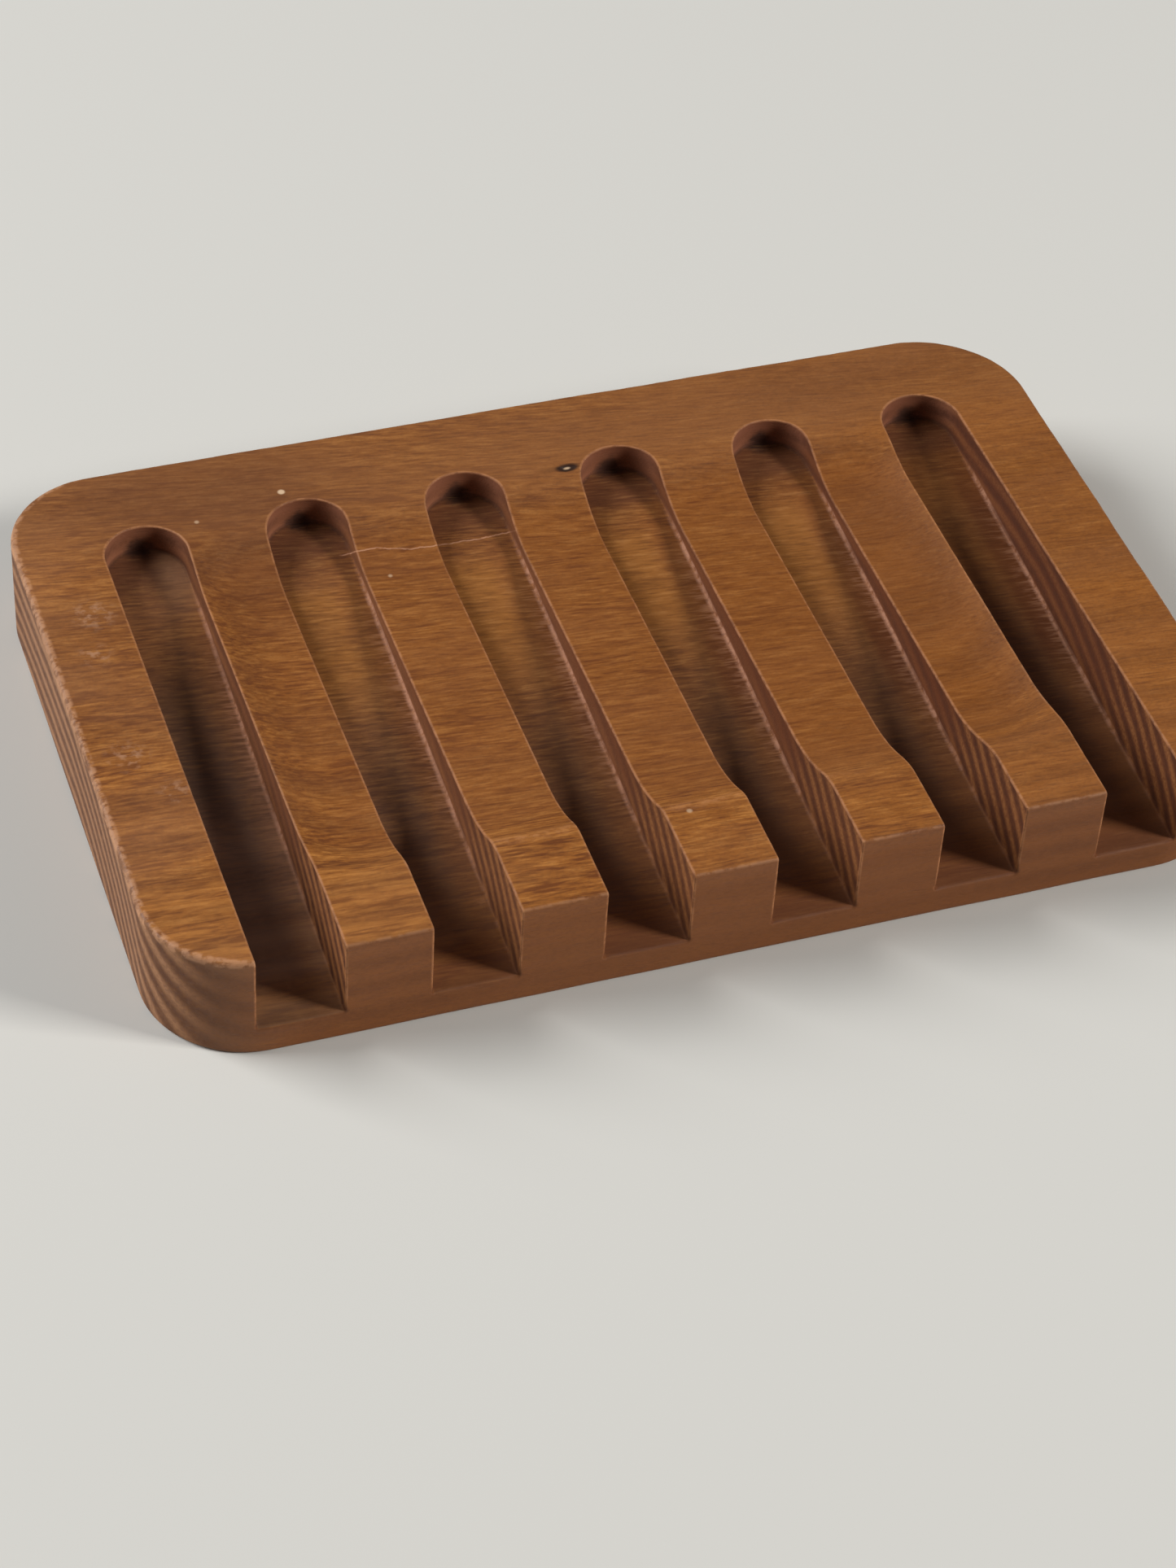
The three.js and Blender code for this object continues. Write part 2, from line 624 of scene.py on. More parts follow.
class Nodes:
    """A short way to write a shader as sums and mixes of its sockets."""

    def __init__(self, material):
        material.use_nodes = True
        self.tree = material.node_tree
        self.tree.nodes.clear()

    def make(self, kind, **settings):
        node = self.tree.nodes.new(kind)
        for name, value in settings.items():
            setattr(node, name, value)
        return node

    def feed(self, socket, value):
        if isinstance(value, bpy.types.NodeSocket):
            self.tree.links.new(value, socket)
        else:
            socket.default_value = value

    def math(self, operation, *values, clamp=False):
        node = self.make("ShaderNodeMath", operation=operation, use_clamp=clamp)
        for socket, value in zip(node.inputs, values):
            self.feed(socket, value)
        return node.outputs[0]

    def add(self, a, b):
        return self.math("ADD", a, b)

    def sub(self, a, b):
        return self.math("SUBTRACT", a, b)

    def mul(self, a, b):
        return self.math("MULTIPLY", a, b)

    def ramp(self, value, start, end, low=0.0, high=1.0):
        """Goes smoothly from low to high as the value goes from start to end."""
        node = self.make("ShaderNodeMapRange", interpolation_type="SMOOTHSTEP")
        for socket, number in zip(node.inputs, (value, start, end, low, high)):
            self.feed(socket, number)
        return node.outputs[0]

    def blend(self, amount, a, b, mode="MIX"):
        node = self.make("ShaderNodeMix", data_type="RGBA", blend_type=mode)
        self.feed(node.inputs["Factor"], amount)
        self.feed(node.inputs[6], a)
        self.feed(node.inputs[7], b)
        return node.outputs[2]

    def split(self, vector):
        node = self.make("ShaderNodeSeparateXYZ")
        self.feed(node.inputs[0], vector)
        return node.outputs[:]

    def join(self, x, y, z):
        node = self.make("ShaderNodeCombineXYZ")
        for socket, value in zip(node.inputs, (x, y, z)):
            self.feed(socket, value)
        return node.outputs[0]

    def stretch(self, vector, scale, shift=(0, 0, 0)):
        node = self.make("ShaderNodeMapping", vector_type="POINT")
        self.feed(node.inputs["Vector"], vector)
        node.inputs["Scale"].default_value = scale
        node.inputs["Location"].default_value = shift
        return node.outputs[0]

    def noise(self, vector, scale=1.0, detail=2.0, rough=0.5):
        node = self.make("ShaderNodeTexNoise")
        self.feed(node.inputs["Vector"], vector)
        node.inputs["Scale"].default_value = scale
        node.inputs["Detail"].default_value = detail
        node.inputs["Roughness"].default_value = rough
        return node.outputs[0]

    def attribute(self, name):
        return self.make("ShaderNodeAttribute", attribute_name=name)


# ---------------------------------------------------------------- the wood

# The tree's heart ran along X below the board, a little behind its middle
HEART_Y = 2.0
HEART_Z = -36
RING = 2.6  # between two growth rings
BACK_WIDTH = 0.5  # rings are this much flatter behind the heart

# Marks of use, in millimetres from the middle of the board
CRACK_FROM = -25.0
CRACK_TO = -4.6
CRACK_Y = (22.1, 20.8)  # left and right of its bend, at the level of the seat
CRACK_BEND = (-22.0, -16.5)
CRACK_LEVEL = 11.2
CRACK_LEAN = 1.05  # it runs back by this much for each millimetre further down
SPECKS = [  # x, y, radius and strength of each pale speck
    (-29.95, 31.95, 0.40, 0.9),
    (-40.7, 29.2, 0.25, 0.5),
    (-20.9, 17.8, 0.22, 0.5),
    (-2.0, -31.0, 0.3, 0.5),
]
RUBS = [  # x, y and radius of each rubbed patch
    (-55.8, 16.5, 2.0),
    (-57.2, 9.9, 1.5),
    (-57.5, -6.9, 1.9),
    (-54.0, -13.5, 1.4),
]

# Clean wood
MID_WOOD = linear(147, 88, 32)
PALE_WOOD = linear(176, 114, 50)
DARK_WOOD = linear(106, 56, 22)
CLOUDED_WOOD = linear(136, 80, 34)
DULL_RING = linear(124, 74, 34)
END_WOOD = linear(130, 87, 60)
LONG_WALL_WOOD = linear(118, 70, 43)
FLECK = linear(74, 40, 22)
PORE = linear(78, 40, 18)
LATE_WOOD = linear(72, 36, 18)
EARLY_WOOD = linear(172, 116, 64)
EARLY_WOOD_OUTSIDE = linear(182, 136, 100)

# Wood that is paler, darker or greyer in places
GREY_LEFT_SIDE = linear(118, 94, 74)
PALE_LEFT_END = linear(176, 128, 92)
STAIN = linear(108, 64, 34)
BEHIND_SEAT = linear(130, 86, 54)
SUNK_SEAT = linear(112, 60, 18)
BRIGHT_LAND = linear(184, 122, 60)

# Inside the slots
# Painted shade for the slot floors, paler and greyer in the left slot, where it also paints the cooler
# light there
SHADED_FLOOR = linear(104, 78, 62)
SHADED_FLOOR_LEFT = linear(150, 122, 104)
SILL = linear(112, 68, 46)
# The left slot's sill is greyer, a painted tint for the cooler light there
SILL_LEFT = linear(116, 88, 68)
# Painted shadow of the right wall on the slot floor
RIGHT_WALL_SHADOW = linear(88, 38, 16)
GREY_FLOOR = linear(72, 54, 44)
# Painted light on the back of the slot floors
GOLDEN_FLOOR = linear(160, 104, 38)
SLOT_WALL = linear(90, 41, 14)
RED_WALL = linear(78, 30, 10)
# Painted light on the slot's end wall, which stands in shadow
LIT_END_WALL = linear(166, 108, 82)
CUTTER_FLOOR = linear(98, 56, 38)
# Painted light in the left slot's far right corner
LIT_CORNER_FLOOR = linear(190, 142, 104)
BURN = linear(36, 22, 20)
# Painted shade in the crease at the slot's far end
CREASE_SHADE = linear(66, 36, 24)
# Partly torn fibres, partly a painted highlight on the fillet
TORN_AND_LIT_LINE = linear(182, 134, 108)
TORN_STROKES = linear(164, 116, 90)
FLOOR_HOLLOW = linear(62, 32, 16)
FLOOR_FIBRE = linear(186, 132, 78)

# Marks, worn edges and painted shade on the sill edge
KNOT_TAIL = linear(72, 38, 20)
KNOT_RIM = linear(34, 18, 12)
KNOT_HEART = linear(212, 180, 146)
CRACK = linear(192, 140, 108)
SPECK = linear(216, 184, 150)
RUB = linear(206, 160, 128)
# Painted shade over the highlight on the rounded sill edge
SHADED_SILL_EDGE = linear(70, 38, 24)
WORN_RIM = linear(188, 128, 84)
WORN_ARRIS = linear(198, 146, 108)
WORN_CREASE = linear(192, 132, 84)


def millimetres(n):
    place = n.make("ShaderNodeTexCoord").outputs["Object"]
    return n.stretch(place, (1 / METRE, 1 / METRE, 1 / METRE))


def ring_radius(n, place):
    """Distance from the tree's heart, in millimetres, with the wander of real rings."""
    _, y, z = n.split(place)
    slow = n.noise(n.stretch(place, (0.018, 0.06, 0.06)), detail=3, rough=0.6)
    drift = n.mul(n.sub(slow, 0.5), 2.4)
    from_heart = n.sub(y, HEART_Y)
    behind = n.math("MAXIMUM", from_heart, 0.0)
    before = n.math("MINIMUM", from_heart, 0.0)
    sideways = n.add(before, n.mul(behind, BACK_WIDTH))
    up = n.add(n.sub(z, HEART_Z), drift)
    return n.math("SQRT", n.add(n.mul(sideways, sideways), n.mul(up, up)))


def ring_darkness(n, radius):
    """1 in the middle of a ring's dark late wood, 0 in the middle of its pale early wood."""
    place = n.math("FRACT", n.add(n.math("DIVIDE", radius, RING), 0.4))
    return n.mul(n.ramp(place, 0.05, 0.45), n.ramp(place, 0.55, 0.95, 1.0, 0.0))


def along_fibres(n, place):
    """The place, turned and pushed about a little: fibres run a few degrees off X and sway gently."""
    sway = n.noise(n.stretch(place, (0.07, 0.2, 0.2)), detail=1)
    lift = n.mul(n.sub(sway, 0.5), 0.9)
    x, y, z = n.split(place)
    turn = n.add(0.1, n.mul(y, 0.0014))
    return n.join(x, n.add(n.add(y, n.mul(x, turn)), lift), n.add(z, lift))


class Grain:
    """The fields that make up the wood's figure, most of them drawn out along the fibres."""

    def __init__(self, n, place):
        fibres = along_fibres(n, place)
        self.fine = n.noise(n.stretch(fibres, (0.34, 2.7, 2.7)), detail=2, rough=0.6)
        self.fibre = n.noise(n.stretch(fibres, (0.14, 1.2, 1.2), (4, 1, 2)), detail=2, rough=0.6)
        self.streak = n.noise(n.stretch(fibres, (0.045, 0.40, 0.40), (5, 2, 7)), detail=2, rough=0.55)
        pore_field = n.noise(n.stretch(fibres, (0.30, 3.9, 3.9), (1, 6, 3)), detail=1, rough=0.5)
        self.pores = n.ramp(pore_field, 0.60, 0.70)
        self.cloud = n.noise(n.stretch(place, (0.035, 0.08, 0.08), (3, 8, 1)), detail=2)
        self.ragged = n.noise(n.stretch(place, (0.9, 1.1, 1.1)), detail=3, rough=0.6)
        self.flecks = n.noise(n.stretch(place, (2.2, 3.2, 3.2)), detail=1)
        radius = ring_radius(n, place)
        self.rings = ring_darkness(n, radius)
        number = n.math("FLOOR", n.math("DIVIDE", radius, RING))
        self.ring_tone = n.noise(n.join(number, 0.0, 0.0), scale=0.73, detail=0)


def wood_material():
    material = bpy.data.materials.new("oiled_wood")
    n = Nodes(material)
    place = millimetres(n)
    x = n.split(place)[0]
    facing = n.split(n.make("ShaderNodeNewGeometry").outputs["Normal"])
    end_grain = n.ramp(n.math("ABSOLUTE", facing[0]), 0.3, 0.95)
    long_wall = n.ramp(n.math("ABSOLUTE", facing[1]), 0.6, 0.95)
    level = n.ramp(facing[2], 0.5, 0.9)
    grain = Grain(n, place)

    colour = plain_wood(n, grain, end_grain, long_wall, x)
    colour = tones_by_place(n, colour, grain, place, level)
    colour = slot_colour(n, colour, grain, level, x)
    colour = growth_rings(n, colour, grain, end_grain, place)
    colour = marks(n, colour, grain, place)
    colour = worn_edges_and_sill_shade(n, colour, grain, x)

    shader = n.make("ShaderNodeBsdfPrincipled")
    n.feed(shader.inputs["Base Color"], colour)
    rough = n.ramp(grain.fine, 0.3, 0.7, 0.46, 0.62)
    rough = n.add(rough, n.mul(end_grain, 0.12))
    inside = n.attribute("in_slot").outputs["Fac"]
    dull = n.ramp(n.attribute("crease").outputs["Fac"], 0.2, 0.8, 0.4, 0.12)
    n.feed(shader.inputs["Roughness"], n.add(rough, n.mul(inside, dull)))
    shader.inputs["Specular IOR Level"].default_value = 0.3
    height = n.sub(n.mul(grain.fine, 0.4), n.mul(grain.pores, 0.3))
    height = n.sub(height, n.mul(n.mul(grain.rings, end_grain), 0.4))
    bump = n.make("ShaderNodeBump")
    bump.inputs["Strength"].default_value = 0.4
    bump.inputs["Distance"].default_value = 0.12 * METRE
    n.feed(bump.inputs["Height"], height)
    n.feed(shader.inputs["Normal"], bump.outputs[0])
    out = n.make("ShaderNodeOutputMaterial")
    n.feed(out.inputs["Surface"], shader.outputs[0])
    return material


def plain_wood(n, grain, end_grain, long_wall, x):
    """Clean wood: streaks, fibres, growth rings and pores."""
    tone = n.mul(n.sub(grain.fine, 0.5), 2.6)
    tone = n.add(tone, n.mul(n.sub(grain.fibre, 0.5), 1.3))
    tone = n.add(tone, n.mul(n.sub(grain.streak, 0.5), 1.0))
    loud = n.sub(1.0, n.add(n.mul(end_grain, 0.4), n.mul(long_wall, 0.6)))
    tone = n.add(0.5, n.mul(tone, n.mul(loud, n.ramp(x, -30, 58, 1.1, 0.5))))
    colour = n.blend(n.ramp(tone, 0.5, 1.1), MID_WOOD, PALE_WOOD)
    colour = n.blend(n.ramp(tone, 0.55, -0.1), colour, DARK_WOOD)
    colour = n.blend(n.ramp(grain.cloud, 0.35, 0.7, 0.0, 0.4), colour, CLOUDED_WOOD)
    colour = n.blend(n.ramp(grain.ring_tone, 0.3, 0.7, 0.0, 0.2), colour, DULL_RING)
    colour = n.blend(n.mul(end_grain, 0.55), colour, END_WOOD)
    colour = n.blend(n.mul(long_wall, 0.55), colour, LONG_WALL_WOOD)
    colour = n.blend(n.ramp(grain.flecks, 0.55, 0.35, 0.0, 0.16), colour, FLECK)
    pore_strength = n.sub(0.3, n.add(n.mul(end_grain, 0.15), n.mul(long_wall, 0.2)))
    return n.blend(n.mul(grain.pores, pore_strength), colour, PORE)


def growth_rings(n, colour, grain, end_grain, place):
    """Growth rings: plain to see on end grain, most of all towards the front, and faint elsewhere."""
    x, y, _ = n.split(place)
    inside = n.attribute("in_slot").outputs["Fac"]
    outside = n.sub(1.0, inside)
    back = n.mul(inside, n.mul(n.ramp(y, -26, -16), n.ramp(x, 20, 50, 1.0, 0.4)))
    strength = n.sub(n.sub(0.52, n.mul(back, 0.34)), n.mul(outside, 0.17))
    strength = n.mul(end_grain, strength)
    strength = n.add(strength, n.ramp(n.math("ABSOLUTE", x), 24, 34, 0.09, 0.22))
    dark = n.mul(n.mul(grain.rings, strength), n.ramp(grain.ragged, 0.3, 0.6, 0.6, 1.2))
    colour = n.blend(dark, colour, LATE_WOOD)
    pale = n.mul(n.sub(1.0, grain.rings), n.mul(end_grain, n.sub(1.0, back)))
    pale = n.mul(n.mul(pale, pale), n.ramp(grain.fine, 0.35, 0.6, 0.4, 1.3))
    pale_wood = n.blend(outside, EARLY_WOOD, EARLY_WOOD_OUTSIDE)
    return n.blend(n.mul(pale, n.add(0.26, n.mul(outside, 0.14))), colour, pale_wood)


def tones_by_place(n, colour, grain, place, level):
    """The left end is paler and greyer, with a stained patch towards the back; the land behind the
    seat is darker and greyer, the seat darker the deeper it is sunk, and the front lands on the left
    brighter.
    """
    x, y, z = n.split(place)
    side = n.mul(n.sub(1.0, level), n.ramp(x, -60, -44, 0.24, 0.0))
    colour = n.blend(side, colour, GREY_LEFT_SIDE)
    left = n.mul(n.ramp(x, -62, -44, 0.16, 0.05), n.ramp(grain.cloud, 0.3, 0.7, 0.3, 1.5))
    colour = n.blend(left, colour, PALE_LEFT_END)
    stained = n.mul(n.ramp(x, -60, -46), n.ramp(x, -34, -14, 1.0, 0.0))
    stain = n.mul(n.ramp(y, 10, 24, 0.0, 0.45), stained)
    colour = n.blend(stain, colour, STAIN)
    behind = n.ramp(y, 23, 29, 0.0, 0.3)
    colour = n.blend(behind, colour, BEHIND_SEAT)
    # Darker the deeper the seat is sunk
    sunk = n.mul(n.ramp(z, 10.9, 13.0, 0.30, 0.0), n.ramp(x, -50, 45, 0.7, 1.3))
    colour = n.blend(sunk, colour, SUNK_SEAT)
    bright = n.mul(n.ramp(x, -34, -14, 0.34, 0.0), n.ramp(y, -33, -22, 1.0, 0.0))
    bright = n.mul(bright, n.ramp(grain.fibre, 0.4, 0.6, 0.3, 1.2))
    return n.blend(n.mul(bright, level), colour, BRIGHT_LAND)


class SlotPlace:
    """Where a point lies in its slot, and whether it is on the floor or on a wall."""

    def __init__(self, n, level):
        self.inside = n.attribute("in_slot").outputs["Fac"]
        self.across, self.along, self.up = n.split(n.attribute("slot_place").outputs["Vector"])
        self.crease = n.attribute("crease").outputs["Fac"]
        self.floor = n.mul(self.inside, level)
        self.wall = n.mul(self.inside, n.sub(1.0, level))
        self.from_end = n.sub(self.along, SLOT_RUN + SLOT_HALF - 0.2)


def slot_colour(n, colour, grain, level, x):
    """Inside a slot: painted shade on the floor at the front, and painted golden light on the shallow
    floor behind.
    """
    slot = SlotPlace(n, level)
    colour = floor_shade_and_tones(n, colour, slot, x)
    colour = golden_floor(n, colour, slot, x)
    colour = slot_walls(n, colour, slot, x)
    colour = cutter_marks_light_and_shade(n, colour, grain, slot, x)
    colour = torn_fibres_and_highlight(n, colour, grain, slot)
    return raised_fibres(n, colour, grain, slot)


def floor_shade_and_tones(n, colour, slot, x):
    """Painted shade on the floor towards the front and the left wall, greyer in the left slot; further
    back a painted shadow of the right wall, and a grey patch in the left slot.
    """
    across, along, floor = slot.across, slot.along, slot.floor
    # Painted shade: the floor darkened where the walls shade it, most towards the front and the left
    # wall, and greyer in the left slot
    deep = n.mul(floor, n.ramp(along, 3, 8))
    shade = n.mul(deep, n.ramp(along, 22, 50, 0.48, 0.08))
    shade = n.mul(shade, n.ramp(across, 0.5, 3.0, 1.0, 0.6))
    shade = n.mul(shade, n.ramp(x, -48, -34, 1.55, 1.0))
    colour = n.blend(shade, colour, n.blend(n.ramp(x, -50, -20), SHADED_FLOOR_LEFT, SHADED_FLOOR))
    # Just inside the mouth the floor takes a colour of its own; its grey in the left slot is a painted
    # tint for the cooler light there
    sill = n.mul(floor, n.ramp(along, 2, 8, 0.6, 0.0))
    colour = n.blend(sill, colour, n.blend(n.ramp(x, -50, -36), SILL_LEFT, SILL))
    # Painted shadow: the right wall's shadow on the right side of the floor, further back
    shadow_run = n.mul(n.ramp(along, 26, 34), n.ramp(along, 56, 66, 1.0, 0.0))
    right_side = n.mul(n.ramp(across, 1.2, 2.6), n.ramp(x, -50, 40, 0.0, 0.5))
    colour = n.blend(n.mul(n.mul(shadow_run, floor), right_side), colour, RIGHT_WALL_SHADOW)
    grey = n.mul(n.ramp(along, 26, 34), n.ramp(along, 46, 56, 1.0, 0.0))
    grey = n.mul(grey, n.ramp(x, -46, -36, 0.6, 0.0))
    left_side = n.ramp(across, -1.5, 1.5, 1.0, 0.4)
    return n.blend(n.mul(grey, n.mul(floor, left_side)), colour, GREY_FLOOR)


def golden_floor(n, colour, slot, x):
    """Painted light: a golden lit band on the back of the floor, least of all in the two outer slots.
    """
    golden = n.mul(n.ramp(slot.along, 34, 50), n.ramp(slot.along, 57, 63, 0.35, 0.0))
    golden = n.mul(slot.floor, golden)
    in_middle = n.mul(n.ramp(x, -50, -32, 0.1, 1.0), n.ramp(x, 30, 48, 1.0, 0.3))
    golden = n.mul(golden, in_middle)
    golden = n.mul(golden, n.ramp(slot.across, 0, 2, 1.0, 0.4))
    return n.blend(golden, colour, GOLDEN_FLOOR)


def slot_walls(n, colour, slot, x):
    """The walls are darker than the lands, and reddish further back."""
    colour = n.blend(n.mul(slot.wall, n.ramp(x, -50, 58, 0.2, 0.75)), colour, SLOT_WALL)
    red = n.mul(slot.wall, n.ramp(slot.up, 1.0, 3.0))
    red = n.mul(red, n.ramp(slot.along, 12, 22, 0.0, 0.35))
    return n.blend(red, colour, RED_WALL)


def cutter_marks_light_and_shade(n, colour, grain, slot, x):
    """Reddish where the cutter dwelt at the far end and burnt dark in its middle, with painted light
    on the end wall and in the left slot's far right corner, and painted shade in the crease.
    """
    from_end = slot.from_end
    # Painted light: the end wall is lightened where it stands in shadow.
    end_wall = n.mul(slot.wall, n.ramp(from_end, -5.0, -1.5, 0.0, 0.4))
    colour = n.blend(end_wall, colour, LIT_END_WALL)
    blotch = n.mul(n.sub(grain.cloud, 0.5), 2.5)
    dwell = n.mul(slot.floor, n.ramp(n.add(from_end, blotch), -7.5, -4.5, 0.0, 0.5))
    colour = n.blend(dwell, colour, CUTTER_FLOOR)
    # Painted light in the far right corner of the left slot's floor
    far_right_corner = n.mul(n.ramp(from_end, -14, -4), n.ramp(slot.across, 0, 3))
    lit_corner = n.mul(n.mul(slot.floor, n.ramp(x, -46, -36, 0.5, 0.0)), far_right_corner)
    colour = n.blend(lit_corner, colour, LIT_CORNER_FLOOR)

    from_middle = n.sub(slot.across, 0.2)
    spread = n.add(n.mul(n.mul(from_middle, from_middle), 0.7), n.mul(from_end, from_end))
    reach = n.add(n.math("SQRT", spread), n.mul(n.sub(grain.ragged, 0.5), 2.0))
    reach = n.add(reach, n.math("MAXIMUM", n.sub(slot.up, 0.8), 0.0))
    colour = n.blend(n.mul(n.ramp(reach, 0.4, 2.1, 0.8, 0.0), slot.inside), colour, BURN)
    # Painted shade: the crease at the foot of the walls is darkened near the far end
    crease_shade = n.mul(slot.inside, n.ramp(slot.crease, 0.1, 0.5, 0.6, 0.0))
    return n.blend(n.mul(crease_shade, n.ramp(from_end, -8, -4)), colour, CREASE_SHADE)


def torn_fibres_and_highlight(n, colour, grain, slot):
    """A pale line along the foot of the right wall, partly torn fibres and partly a painted highlight
    on the fillet, with torn fibre strokes on the floor beside it.
    """
    across, along, crease = slot.across, slot.along, slot.crease
    # The pale line: partly torn fibres, partly a painted highlight on the fillet
    right = n.mul(slot.inside, n.ramp(across, 3.0, 3.6))
    middle = n.mul(n.ramp(along, 8, 26, 0.2, 1.0), n.ramp(along, 56, 64, 1.0, 0.1))
    line = n.mul(n.mul(right, middle), n.ramp(crease, 0.2, 0.6, 1.0, 0.0))
    line = n.mul(line, n.ramp(grain.ragged, 0.32, 0.62, 0.15, 1.0))
    colour = n.blend(n.mul(line, 0.75), colour, TORN_AND_LIT_LINE)
    torn = n.mul(n.ramp(along, 14, 30), n.ramp(along, 46, 60, 1.0, 0.0))
    strokes = n.mul(n.ramp(grain.fine, 0.44, 0.62), n.ramp(crease, 0.2, 2.4, 1.0, 0.0))
    strokes = n.mul(n.mul(strokes, n.mul(torn, slot.floor)), n.ramp(across, 1.6, 3.4))
    return n.blend(n.mul(strokes, 0.5), colour, TORN_STROKES)


def raised_fibres(n, colour, grain, slot):
    """The floor was never sanded: its fibres stand out more than those on top."""
    open_floor = n.mul(slot.floor, n.ramp(slot.along, 8, 24))
    hollow = n.mul(open_floor, n.ramp(grain.fine, 0.5, 0.32, 0.0, 0.2))
    colour = n.blend(hollow, colour, FLOOR_HOLLOW)
    fibre = n.mul(open_floor, n.ramp(grain.fine, 0.52, 0.70, 0.0, 0.16))
    return n.blend(fibre, colour, FLOOR_FIBRE)


def spot(n, x, y, centre_x, centre_y, radius, soft):
    """1 within a round spot seen from above, fading to 0 over a soft edge."""
    dx = n.sub(x, centre_x)
    dy = n.sub(y, centre_y)
    reach = n.math("SQRT", n.add(n.mul(dx, dx), n.mul(dy, dy)))
    return n.ramp(reach, radius - soft, radius + soft, 1.0, 0.0)


def marks(n, colour, grain, place):
    """The knot, the hairline crack, and pale specks and rub marks."""
    x, y, z = n.split(place)
    high = n.ramp(z, 6.5, 7.0)
    colour = knot(n, colour, x, y, high)
    colour = hairline_crack(n, colour, grain, place)
    for speck_x, speck_y, radius, strength in SPECKS:
        speck = n.mul(spot(n, x, y, speck_x, speck_y, radius, 0.15), high)
        colour = n.blend(n.mul(speck, strength), colour, SPECK)
    for rub_x, rub_y, radius in RUBS:
        rub = n.mul(spot(n, x, y, rub_x, rub_y, radius, radius * 0.8), high)
        rub = n.mul(rub, n.ramp(grain.ragged, 0.46, 0.66))
        colour = n.blend(n.mul(rub, 0.35), colour, RUB)
    return colour


def knot(n, colour, x, y, high):
    """A dark rim with a tail to the left, round a pale heart."""
    dx = n.mul(n.sub(x, KNOT[0]), 0.52)
    dy = n.sub(y, KNOT[1])
    reach = n.math("SQRT", n.add(n.mul(dx, dx), n.mul(dy, dy)))
    tail = n.mul(n.ramp(n.math("ABSOLUTE", dy), 0.1, 0.6, 1.0, 0.0), n.ramp(dx, -2.6, -0.4))
    tail = n.mul(tail, n.ramp(dx, 0.4, 1.4, 1.0, 0.0))
    colour = n.blend(n.mul(n.mul(tail, high), 0.45), colour, KNOT_TAIL)
    colour = n.blend(n.mul(n.ramp(reach, 0.5, 0.9, 0.92, 0.0), high), colour, KNOT_RIM)
    heart_x = n.add(KNOT[0], n.mul(n.sub(x, KNOT[0]), 0.55))
    heart = n.mul(spot(n, heart_x, y, KNOT[0], KNOT[1], 0.2, 0.12), high)
    return n.blend(n.mul(heart, 0.85), colour, KNOT_HEART)


def hairline_crack(n, colour, grain, place):
    """A pale crack that bends once, and leans back as it goes down."""
    x, y, z = n.split(place)
    line = n.ramp(x, CRACK_BEND[0], CRACK_BEND[1], CRACK_Y[0], CRACK_Y[1])
    line = n.sub(line, n.mul(n.sub(z, CRACK_LEVEL), CRACK_LEAN))
    sway = n.noise(n.stretch(place, (0.5, 0.1, 0.1), (2, 2, 2)), detail=3, rough=0.6)
    off = n.math("ABSOLUTE", n.sub(n.sub(y, line), n.mul(n.sub(sway, 0.5), 1.1)))
    starts = n.ramp(x, CRACK_FROM - 0.4, CRACK_FROM + 0.4)
    ends = n.ramp(x, CRACK_TO - 0.5, CRACK_TO, 1.0, 0.0)
    crack = n.mul(n.ramp(off, 0.05, 0.17, 1.0, 0.0), n.mul(starts, ends))
    crack = n.mul(crack, n.ramp(grain.ragged, 0.3, 0.5, 0.45, 1.0))
    return n.blend(n.mul(n.mul(crack, n.ramp(z, 7.0, 7.5)), 0.7), colour, CRACK)


def worn_edges_and_sill_shade(n, colour, grain, x):
    """Edges rubbed pale: thin on the slot rims, broad and ragged around the outside; painted shade on
    the rounded edge where a slot floor meets the front.
    """
    rim = n.attribute("rim").outputs["Fac"]
    up = n.split(n.attribute("slot_place").outputs["Vector"])[2]
    arris = n.attribute("arris").outputs["Fac"]
    rim_wear = n.mul(n.ramp(rim, 0.10, 0.34, 1.0, 0.0), n.ramp(grain.ragged, 0.35, 0.6, 0.3, 1.0))
    rim_wear = n.mul(rim_wear, n.ramp(up, 0.5, 2.5, 0.0, 0.55))
    # Painted shade: darkens the rounded edge where a slot floor meets the front face
    sill_edge_shade = n.mul(n.ramp(rim, 0.1, 0.6, 0.22, 0.0), n.ramp(up, 0.3, 1.0, 1.0, 0.0))
    colour = n.blend(sill_edge_shade, colour, SHADED_SILL_EDGE)
    colour = n.blend(rim_wear, colour, WORN_RIM)
    left = n.ramp(x, -56, -46, 0.55, 0.42)
    reach = n.add(arris, n.ramp(x, -56, -48, 0.0, 0.5))
    arris_wear = n.mul(n.ramp(reach, 0.5, 0.95, 1.0, 0.0), n.ramp(grain.ragged, 0.38, 0.58))
    colour = n.blend(n.mul(arris_wear, left), colour, WORN_ARRIS)
    crease = n.attribute("seat_crease").outputs["Fac"]
    crisp = n.mul(n.ramp(x, -34, -24), n.ramp(x, 6, 24, 1.0, 0.0))
    crease_wear = n.mul(n.mul(crease, crisp), n.ramp(grain.ragged, 0.4, 0.6, 0.2, 1.0))
    return n.blend(n.mul(crease_wear, 0.5), colour, WORN_CREASE)


# ---------------------------------------------------------------- stage, light, camera


FLOOR_HALF = 1.5  # metres
FLOOR_COLOUR = linear(208, 206, 200)
LAMP_DISTANCE = 1.6  # metres


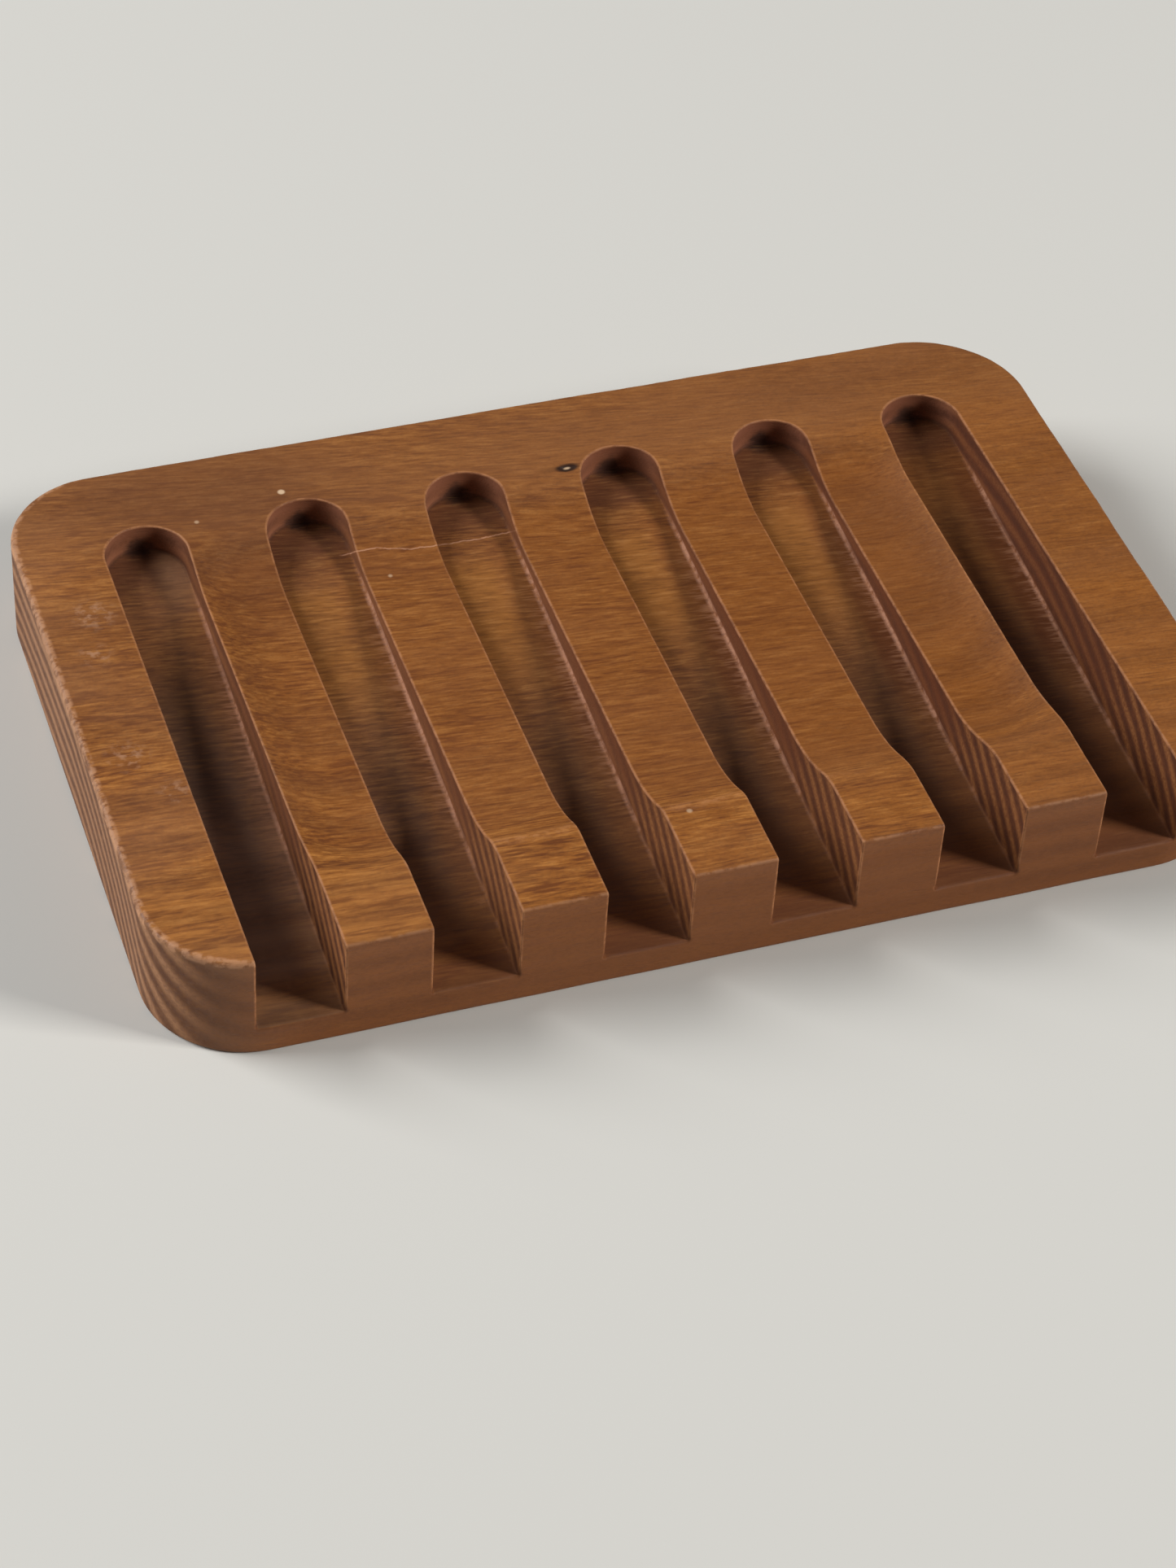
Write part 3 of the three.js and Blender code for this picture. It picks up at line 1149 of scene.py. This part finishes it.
def make_floor():
    half = FLOOR_HALF
    mesh = bpy.data.meshes.new("floor")
    corners = [(-half, -half, 0), (half, -half, 0), (half, half, 0), (-half, half, 0)]
    mesh.from_pydata(corners, [], [(0, 1, 2, 3)])
    floor = bpy.data.objects.new("floor", mesh)
    bpy.context.collection.objects.link(floor)
    material = bpy.data.materials.new("pale_floor")
    n = Nodes(material)
    shader = n.make("ShaderNodeBsdfPrincipled")
    shader.inputs["Base Color"].default_value = FLOOR_COLOUR
    shader.inputs["Roughness"].default_value = 0.9
    out = n.make("ShaderNodeOutputMaterial")
    n.feed(out.inputs["Surface"], shader.outputs[0])
    mesh.materials.append(material)


def area_light(name, azimuth, elevation, size, power, colour):
    """A square lamp that looks at the board; azimuth 0 is +X, and 90 is the back."""
    lamp = bpy.data.lights.new(name, "AREA")
    lamp.size = size
    lamp.energy = power
    lamp.color = colour
    a, e = math.radians(azimuth), math.radians(elevation)
    where = Vector((math.cos(e) * math.cos(a), math.cos(e) * math.sin(a), math.sin(e)))
    where *= LAMP_DISTANCE
    item = bpy.data.objects.new(name, lamp)
    item.location = where
    item.rotation_euler = (-where).to_track_quat("-Z", "Y").to_euler()
    bpy.context.collection.objects.link(item)


def make_lights():
    area_light("key", -33, 30, 0.35, 20.5, (1.0, 0.985, 0.96))
    area_light("window", 152, 33, 0.9, 28.5, (0.98, 0.99, 1.0))
    world = bpy.data.worlds.new("room")
    world.use_nodes = True
    background = world.node_tree.nodes["Background"]
    background.inputs["Color"].default_value = (0.93, 0.96, 1.0, 1)
    background.inputs["Strength"].default_value = 0.11
    bpy.context.scene.world = world


CAMERA_PLACE = Vector((-121.4, -310.0, 303.4))  # millimetres
CAMERA_TURN = math.radians(21.09)  # from +Y towards +X
CAMERA_DIP = math.radians(43.42)
CAMERA_ROLL = math.radians(3.86)
CAMERA_LENS = 90.2
FILM = 36  # height in millimetres


def make_camera():
    camera = bpy.data.cameras.new("camera")
    camera.sensor_fit = "VERTICAL"
    camera.sensor_height = FILM
    camera.lens = CAMERA_LENS
    camera.clip_start = 0.01
    camera.clip_end = 20
    flat = math.cos(CAMERA_DIP)
    ahead = Vector((flat * math.sin(CAMERA_TURN), flat * math.cos(CAMERA_TURN), -math.sin(CAMERA_DIP)))
    level = Vector((math.cos(CAMERA_TURN), -math.sin(CAMERA_TURN), 0))
    up = level.cross(ahead)
    right = level * math.cos(CAMERA_ROLL) + up * math.sin(CAMERA_ROLL)
    up = right.cross(ahead)
    item = bpy.data.objects.new("camera", camera)
    turned = Matrix((right, up, -ahead)).transposed().to_4x4()
    item.matrix_world = Matrix.Translation(CAMERA_PLACE * METRE) @ turned
    bpy.context.collection.objects.link(item)
    bpy.context.scene.camera = item


# ---------------------------------------------------------------- all together

board = make_board()
board.data.materials.append(wood_material())
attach(board, "root")
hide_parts("dish_board")

make_floor()
make_lights()
make_camera()
bpy.context.scene.view_settings.view_transform = "Standard"
